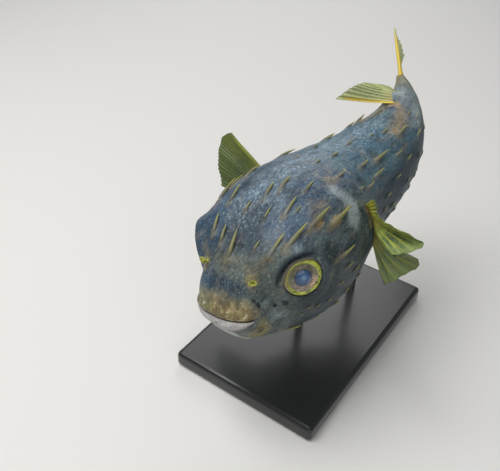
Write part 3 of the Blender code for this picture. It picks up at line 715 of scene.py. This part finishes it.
def buildEye(label, sign, material):
    centre, look, over, ahead = eyeAxes(sign)
    shape, sides = eyeShape, eyeShape["sides"]
    rho = np.concatenate((np.linspace(0.25, 11.75, 60), shape["rimRadii"]))
    dome = np.interp(rho, shape["radii"], shape["heights"]) + 0.35 * bell(rho, 10.2, 0.9)
    dome = dome + 0.9 * np.sqrt(np.maximum(0, 1 - (rho / shape["pupil"]) ** 2))
    dome[-3:] = shape["rimHeights"]
    turn = 2 * np.pi * np.arange(sides) / sides
    fore, high = np.outer(rho, np.cos(turn)), np.outer(rho, np.sin(turn))
    radii = mm * np.tile(rho[:, None], sides)
    rings = ringsAround(centre + mm * np.outer(dome, look), radii, ahead, over)
    points = np.concatenate((rings, (centre + look * dome[0] * mm)[None]))
    faces = tubeFaces(len(rho), sides, order=sign) + fanFaces(0, sides, len(points) - 1, -sign)
    values = {"rho": np.repeat(rho, sides), "fore": fore, "high": high}
    values = {key: np.append(amount, 0.0) for key, amount in values.items()}
    makePiece("eye_" + label + "_glass", points, faces, material, ("eye_" + label,), values)


def eyeMaterial():
    # wet cornea over a blue pupil, a silvery pink iris and a speckled yellow-green ring; in millimetres
    material, tree = newMaterial("wet_eye")
    away = []  # from the middle of the ring, low and to the rear, and of the pupil's painted highlight
    for fore, high in ((0.9, 1.2), (0.3, -0.4)):
        middle = addNode(tree, "CombineXYZ", {0: weigh(tree, "fore", plus=fore),
                                              1: weigh(tree, "high", plus=high)})
        away.append(addNode(tree, "VectorMath", {0: middle}, "Value", operation="LENGTH"))
    soft = weigh(tree, noiseAt(tree, 1.4), plus=-0.5)
    ring, wobble = weigh(tree, away[0], soft), weigh(tree, "rho", (soft, 1.2))
    # towards the lower rear: a thin glint in the pupil, a peach sheen on the iris
    toward = addNode(tree, "Math", {0: weigh(tree, ("fore", -0.66), ("high", -0.75)), 1: addNode(
        tree, "Math", {0: "rho", 1: 0.5}, operation="MAXIMUM")}, operation="DIVIDE")
    arc, sheen = (addNode(tree, "Math", {0: weigh(tree, "rho", plus=-radius)}, operation="ABSOLUTE")
                  for radius in (4.1, 7.2))
    # blue pupil with a pale painted highlight in its middle, darker to the rim
    pupil = paint(tree, "6689a8", ("36587f", (away[1], 0.2, 2.4)), ("22395c", (away[1], 2.0, 5.0)),
                  ("a9b6c6", (arc, 0.40, 0.10, 0.7), (toward, 0.80, 0.97)))
    iris = paint(tree, "504f3e", ("7c7560", (noiseAt(tree, 1.1), 0.35, 0.65)),
                 # lighter pink below: the iris's own pink, with the upper part left darker as painted
                 # shade under the brow
                 ("a48e80", ("high", 3.0, -6.0), (noiseAt(tree, 1.6), 0.42, 0.66)),
                 ("6e6f3c", (ring, 8.2, 9.2, 0.7)),
                 ("e3b898", (sheen, 2.0, 0.6), (toward, 0.82, 0.99, 0.9),
                  (noiseAt(tree, 0.9, 2.0), 0.38, 0.60)))
    iris = paint(tree, "23282a", (iris, ("rho", 4.9, 5.4)))
    outer = paint(tree, "8c962c", ("b7bc3e", (noiseAt(tree, 1.5, 2.0), 0.4, 0.65)),
                  ("1d200f", (noiseAt(tree, 0.8, 1.0), 0.60, 0.66), ("high", 5.0, -4.0)),
                  # olive-brown on the front and upper side of the ring: partly its own colour, partly
                  # painted shade under the brow
                  ("7f7634", (weigh(tree, "fore", ("high", 0.3)), 5.0, 11.0, 0.75)))
    base = paint(tree, pupil, (iris, ("rho", 4.75, 5.0)), (outer, (wobble, 8.3, 9.0)),
                 ("7a7054", (ring, 10.6, 11.5)), ("39412c", ("rho", 11.4, 11.75)))
    return shade(material, Base_Color=base, Roughness=0.12, IOR=1.38, Coat_Weight=1.0,
                 Coat_Roughness=0.05)


finShape = {"root": 0.016, "membrane": 0.35 * mm, "ray": 0.75 * mm, "perRay": 8, "along": 44}
pectoralTables = {
    # place down the base, lift above the side, sweep forwards, length
    "left": np.array((
        (0.00, 38.0, 49.0, 0.118), (0.26, 22.5, 43.0, 0.118), (0.40, 4.0, 16.5, 0.176),
        (0.61, 6.0, 43.5, 0.146), (0.77, -3.0, 14.5, 0.148), (0.90, -50.0, 0.0, 0.128),
        (1.00, -78.0, 19.5, 0.140))),
    "right": np.array((
        (0.00, 43.0, 4.0, 0.152), (0.25, 31.5, -1.0, 0.180), (0.50, 27.0, 4.0, 0.178),
        (0.75, 19.0, 7.0, 0.180), (1.00, 10.0, 10.0, 0.176))),
    "station": 0.440, "top": 25.5, "bottom": -11.0, "curl": 0.012,
}
medianTables = {
    # place along the base, reach tailwards, left and up
    "dorsal": np.array((
        (0.00, -0.016, -0.166, 0.026), (0.25, -0.016, -0.110, 0.056), (0.50, -0.012, -0.068, 0.063),
        (0.75, -0.003, -0.040, 0.052), (1.00, 0.004, -0.024, 0.038))),
    "anal": np.array((
        (0.00, 0.030, -0.143, -0.038), (0.30, 0.082, -0.122, -0.031), (0.60, 0.102, -0.086, -0.031),
        (1.00, 0.070, -0.034, -0.025))),
    # front and rear end of the base: angle, station, rise of the rays' roots over the skin
    "dorsalBase": ((94.0, 0.850, -0.004), (104.0, 0.920, -0.006)),
    "analBase": ((-90.0, 0.865, 0.004), (-90.0, 0.935, 0.004)),
}
caudalShape = {"root": 0.030, "spread": 16.0, "length": 0.182, "round": 0.016, "lag": (0.10, 0.01),
               "curl": 0.02}


def raySheet(roots, directions, curls, lengths, rayCount, seed, stout):
    # a fin as a thin two-sided sheet with raised, branching rays and a scalloped edge
    rows, across = len(lengths), finShape["along"]
    lengths, v = lengths[:, None], np.linspace(0, 1, across)
    phase = np.linspace(0, rayCount - 1, rows)[:, None]
    offset = phase - np.round(phase)  # -0.5 to 0.5, 0 on a ray
    notches = np.random.default_rng(seed).random(rayCount // 3 + 2)
    trim = 1 - 0.055 * np.interp(phase / 3, np.arange(len(notches)), notches)
    reach = lengths * (trim - 0.004 * (1 - bell(offset, 0, 0.32)))
    run = -finShape["root"] + (reach + finShape["root"]) * v
    bend = np.maximum(0, run / lengths) ** 2
    points = roots[:, None] + body["length"] * (
        directions[:, None] * run[..., None] + curls[:, None] * bend[..., None])
    normals = unit(np.cross(np.gradient(points, axis=0), np.gradient(points, axis=1)))
    out = np.clip(run / reach, 0, 1)
    split, wide = 0.20 * smooth(out, 0.40, 0.95), 0.13 - 0.05 * out
    rib = np.maximum(bell(offset, -split, wide), bell(offset, split, wide))
    pleat = 0.45 * mm * np.cos(2 * np.pi * phase) * smooth(out, 0.05, 0.4)
    ripple = 0.5 * mm * np.sin(phase * 1.3 + seed) * out ** 2
    points = points + normals * (pleat + ripple)[..., None]
    thick = finShape["membrane"] * (1 - 0.45 * out) + finShape["ray"] * rib * (1 - 0.72 * out)
    thick = thick + stout * mm * bell(phase, 0, 0.7) * (1 - 0.75 * out)  # stout first ray
    thick = (thick + 1.2 * mm * bell(run, 0, 0.014)) * np.where(v == 1, 0.4, 1.0)
    step = normals * thick[..., None] / 2
    index = np.arange(rows * across).reshape(rows, across)
    low = index + rows * across
    quads = [np.stack((a[:-1, :-1], a[1:, :-1], a[1:, 1:], a[:-1, 1:]), -1).reshape(-1, 4)
             for a in (index, low[:, ::-1])]
    edges = (index[:, -1], low[:, -1]), (low[0], index[0]), (index[-1], low[-1]), (low[:, 0], index[:, 0])
    for one, two in edges:
        quads.append(np.stack((one[:-1], two[:-1], two[1:], one[1:]), -1))
    values = {"rib": rib, "out": out, "place": np.repeat(np.linspace(0, 1, rows), across)}
    return (np.concatenate((points + step, points - step)).reshape(-1, 3), np.concatenate(quads).tolist(),
            {key: np.tile(amount.ravel(), 2) for key, amount in values.items()})


def pectoralRays(t, side, sign):
    # roots, directions, curls and lengths of the rays at places t down the fan
    table = pectoralTables[side]
    lift, sweep = np.radians(curveThrough(table, 1, t)), np.radians(curveThrough(table, 2, t))
    tail, left, up = heading(pectoralTables["station"])
    direction = (left * sign * (np.cos(lift) * np.cos(sweep))[:, None]
                 - tail * (np.cos(lift) * np.sin(sweep))[:, None] + up * np.sin(lift)[:, None])
    angle = pectoralTables["top"] + (pectoralTables["bottom"] - pectoralTables["top"]) * t
    roots = bodyPoint(pectoralTables["station"], angle if sign > 0 else 180 - angle)
    curls = np.tile(tail * pectoralTables["curl"], (len(t), 1))
    return roots, direction, curls, curveThrough(table, 3, t)


def medianRays(t, name):
    table = medianTables[name]
    front, rear = np.array(medianTables[name + "Base"])
    angle, station, rise = (front + (rear - front) * t[:, None]).T
    axes = heading(station)
    reach = sum(axis * curveThrough(table, k + 1, t)[:, None] for k, axis in enumerate(axes))
    roots = bodyPoint(station, angle) + axes[2] * rise[:, None] * body["length"]
    return roots, unit(reach), np.zeros_like(reach), np.linalg.norm(reach, axis=1)


def caudalRays(t):
    t = 1 - 2 * t
    tail, left, up = heading(1.0)
    cut = caudalShape
    spread = np.radians(cut["spread"] * t)[:, None]
    lag = (cut["lag"][0] + cut["lag"][1] * (1 - t) / 2)[:, None]
    direction = unit(tail * np.cos(spread) + up * np.sin(spread) + left * lag)
    roots = (axisPoint(1.0) + up * (t * cut["root"])[:, None]) * body["length"]
    return roots, direction, left * (cut["curl"] * (1 - t))[:, None], cut["length"] - cut["round"] * t * t


finLooks = {
    # bands: where down the fan the low colour starts and ends, and the top colour; the low colour is
    # painted shade on the lower part of the fan
    # plain, striped: how far down the dark gaps start, and how strong they are
    # fade: where the edge's colour starts
    "yellow_green_fin": {
        "membrane": "a9b662", "shade": "7f8f52", "ray": "ccd25c", "gap": "56705a", "low": "6c7546",
        "top": "dcda48", "root": "9a8648", "edge": "7c8c5c", "lead": "e0da50",
        "striped": 0.75, "plain": 0.24, "fade": 0.45, "bands": (0.60, 0.72, 0.36)},
    # the right pectoral: the same fin as the left, painted darker olive as painted shade
    "olive_green_fin": {
        "membrane": "66733e", "shade": "546034", "ray": "8e983c", "gap": "3a4a30", "low": "4a5a37",
        "top": "6c7834", "root": "646238", "edge": "5c6a34", "lead": "8d9340",
        "striped": 0.8, "plain": -0.2, "fade": 0.40, "bands": (0.35, 0.90, 0.34)},
    "pale_yellow_fin": {
        "membrane": "d3dca4", "shade": "c6d09a", "ray": "e2e2a0", "gap": "9fac80", "low": "c2cc9c",
        "top": "dadc98", "root": "a88f50", "edge": "d6dcaa", "lead": "e8c94c",
        "striped": 0.5, "plain": -0.2, "fade": 0.90, "bands": (0.60, 0.95, 0.2)},
}


def finMaterial(name, looks):
    # moist yellow membrane, thin enough to pass a little light, with paler rays and dusky gaps
    material, tree = newMaterial(name)
    clouds = noiseAt(tree, 3.0)
    down = weigh(tree, "place", (clouds, 0.10), plus=-0.05)  # down the fan, a little uneven
    start, end, top = looks["bands"]
    upper = weigh(tree, shareOf(tree, (down, start + 0.1, start - 0.1, 0.6)), plus=0.3)
    base = paint(
        tree, looks["membrane"],
        (looks["shade"], (clouds, 0.35, 0.68)),
        # painted shade on the lower part of the fan
        (looks["low"], (down, start, end, 0.85)),
        (looks["top"], (down, top, top - 0.08, 0.75)),
        (looks["ray"], ("rib", 0.25, 0.85), upper),
        (looks["gap"], ("rib", 0.35, 0.02), ("out", 0.22, 0.42),
         (down, looks["plain"], looks["plain"] + 0.12),
         (noiseAt(tree, 2.0, 2.0), 0.30, 0.62, looks["striped"])),
        (looks["root"], ("out", 0.30, 0.0, 0.6)),
        (looks["edge"], ("out", looks["fade"], 1.0, 0.7)),
        (looks["lead"], ("place", 0.10, 0.03), ("out", 1.0, 0.7, 0.9)),
        ("3a4224", (noiseAt(tree, 0.6, 1.0), 0.62, 0.70, 0.35), ("rib", 0.5, 0.2)))  # fine specks
    grain = noiseAt(tree, 0.7, 2.0)
    bump = addNode(tree, "Bump", {"Height": grain, "Strength": 0.3, "Distance": 0.2 * mm})
    return shade(material, Base_Color=base, Normal=bump, Roughness=0.52, IOR=1.36, Coat_Weight=0.05,
                 Coat_Roughness=0.3, Alpha=0.96)


def buildNostril(label, sign, material):
    point, normal = bodyPoint(*nostril[label]), bodyNormal(*nostril[label])
    lean = unit(normal + np.array((0, -0.25, 0)))
    side = unit(np.cross(lean, (0, 0, 1)))
    front = np.cross(side, lean)
    profile = np.array((
        (0.70, -0.25), (0.62, 0.10), (0.55, 0.30), (0.56, 0.48), (0.72, 0.66), (0.93, 0.84), (1.02, 0.95),
        (1.00, 1.02), (0.88, 1.03), (0.72, 0.92), (0.52, 0.74), (0.36, 0.55), (0.20, 0.42), (0.02, 0.38)))
    rows = np.linspace(0, len(profile) - 1, 40)
    radius = np.interp(rows, np.arange(len(profile)), profile[:, 0]) * nostril["radius"]
    height = np.interp(rows, np.arange(len(profile)), profile[:, 1]) * (nostril["height"] + 0.6 * mm)
    sides = 40
    turn = 2 * np.pi * np.arange(sides) / sides
    flare = smooth(height / nostril["height"], 0.5, 1.1)[:, None]
    lobes = 1 + flare * (0.10 * np.sin(5 * turn + 1) + 0.22 * np.cos(2 * turn))
    notch = 1 + flare * 0.20 * np.cos(2 * turn + 0.6)
    rings = ringsAround(np.tile(point, (len(rows), 1)), radius[:, None] * lobes, side, front)
    rings = rings + np.outer(height[:, None] * notch, lean)
    faces, hollow = tubeFaces(len(rows), sides, order=sign), smooth(rows, 26, 36)
    makePiece("nostril_cup_" + label, rings, faces, material,
              ("nasal_tentacle_" + label,), {"hollow": np.repeat(hollow, sides)})


def nostrilMaterial():
    # soft yellow-green flesh, darker inside the cup as painted shade
    material, tree = newMaterial("nostril_flesh")
    base = paint(tree, "93963f", ("b9bb5c", (noiseAt(tree, 1.0), 0.35, 0.65)),
                 # painted shade inside the cup
                 ("6f6f32", ("hollow", 0.2, 1.0)))
    return shade(material, Base_Color=base, Roughness=0.45, IOR=1.40, Coat_Weight=0.2, Coat_Roughness=0.3)


def dressStand():
    # satin black acrylic with softly bright edges, and rods of brushed steel
    acrylic = shade(newMaterial("satin_black_acrylic")[0], Base_Color=colour("1b1c1e"), Roughness=0.28,
                    Coat_Weight=0.3, Coat_Roughness=0.15)
    steel = shade(newMaterial("brushed_steel")[0], Base_Color=colour("c3c4c6"), Metallic=1.0,
                  Roughness=0.30, Anisotropic=0.6)
    for name, material in (("base", acrylic), ("rod_front", steel), ("rod_rear", steel)):
        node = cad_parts["stand_" + name]
        node.data.materials.clear()
        node.data.materials.append(material)


studio = {
    "floorSize": 6.0, "floorColour": "e0deda",
    "eyePoint": (0.1545, -0.3137, 0.3508), "cameraTurn": (52.65463, -2.08565, 35.20652), "lens": 46.35,
    # place, size and power
    "lights": {"key": ((-0.35, -0.35, 1.05), 0.7, 9.5), "fill": ((0.9, -0.9, 0.8), 1.2, 5.0),
               "rim": ((-0.6, 0.9, 0.8), 0.8, 4.0)},
    "lightsAimAt": (0, 0, 0.10), "airColour": "d9dcdf", "airLight": 0.34,
}


def buildStudio():
    # matt pale floor that shows the shadows softly
    material = shade(newMaterial("matt_pale_floor")[0], Roughness=0.8,
                     Base_Color=colour(studio["floorColour"]))
    bpy.ops.mesh.primitive_plane_add(size=studio["floorSize"])
    floor = bpy.context.object
    floor.name = floor.data.name = "floor"
    floor.data.materials.append(material)
    for name, (place, size, power) in studio["lights"].items():
        data = bpy.data.lights.new(name, "AREA")
        data.shape, data.size, data.energy = "SQUARE", size, power
        lamp = addObject(name, data)
        lamp.location = place
        aim = Vector(studio["lightsAimAt"]) - lamp.location
        lamp.rotation_euler = aim.to_track_quat("-Z", "Y").to_euler()
    world = bpy.data.worlds.new("studio")
    bpy.context.scene.world = world
    world.use_nodes = True
    setInputs(world.node_tree, world.node_tree.nodes["Background"],
              {"Color": colour(studio["airColour"]), "Strength": studio["airLight"]})
    camera = addObject("camera", bpy.data.cameras.new("camera"))
    camera.data.lens, camera.data.sensor_width = studio["lens"], 36.0
    camera.data.clip_start = 0.01
    camera.rotation_euler = [math.radians(angle) for angle in studio["cameraTurn"]]
    camera.location = studio["eyePoint"]
    bpy.context.scene.camera = camera
    bpy.context.scene.view_settings.view_transform = "Standard"


buildSkin(skinMaterial())
print("skin done")
buildSpines(spineMaterial())
print("spines done")
for build, look in ((buildEye, eyeMaterial()), (buildNostril, nostrilMaterial())):
    for label, sign in (("left", 1), ("right", -1)):
        build(label, sign, look)
print("eyes and nostrils done")
finLook = {name: finMaterial(name, looks) for name, looks in finLooks.items()}
# node, rays and their number, material, seed, thickness of the first ray in mm
for node, rays, which, count, look, seed, stout in (
        ("pectoral_fin_left", pectoralRays, ("left", 1), 20, "yellow_green_fin", 3, 0.7),
        ("pectoral_fin_right", pectoralRays, ("right", -1), 20, "olive_green_fin", 5, 0.7),
        ("dorsal_fin", medianRays, ("dorsal",), 13, "pale_yellow_fin", 8, 1.9),
        ("anal_fin", medianRays, ("anal",), 12, "pale_yellow_fin", 11, 0.7),
        ("caudal_fin", caudalRays, (), 9, "pale_yellow_fin", 13, 2.0)):
    t = np.linspace(0, 1, (count - 1) * finShape["perRay"] + 1)
    points, faces, values = raySheet(*rays(t, *which), count, seed, stout)
    makePiece(node.replace("_fin", "") + "_rays", points, faces, finLook[look], (node,), values)
dressStand()
print("fins and stand done")
buildStudio()
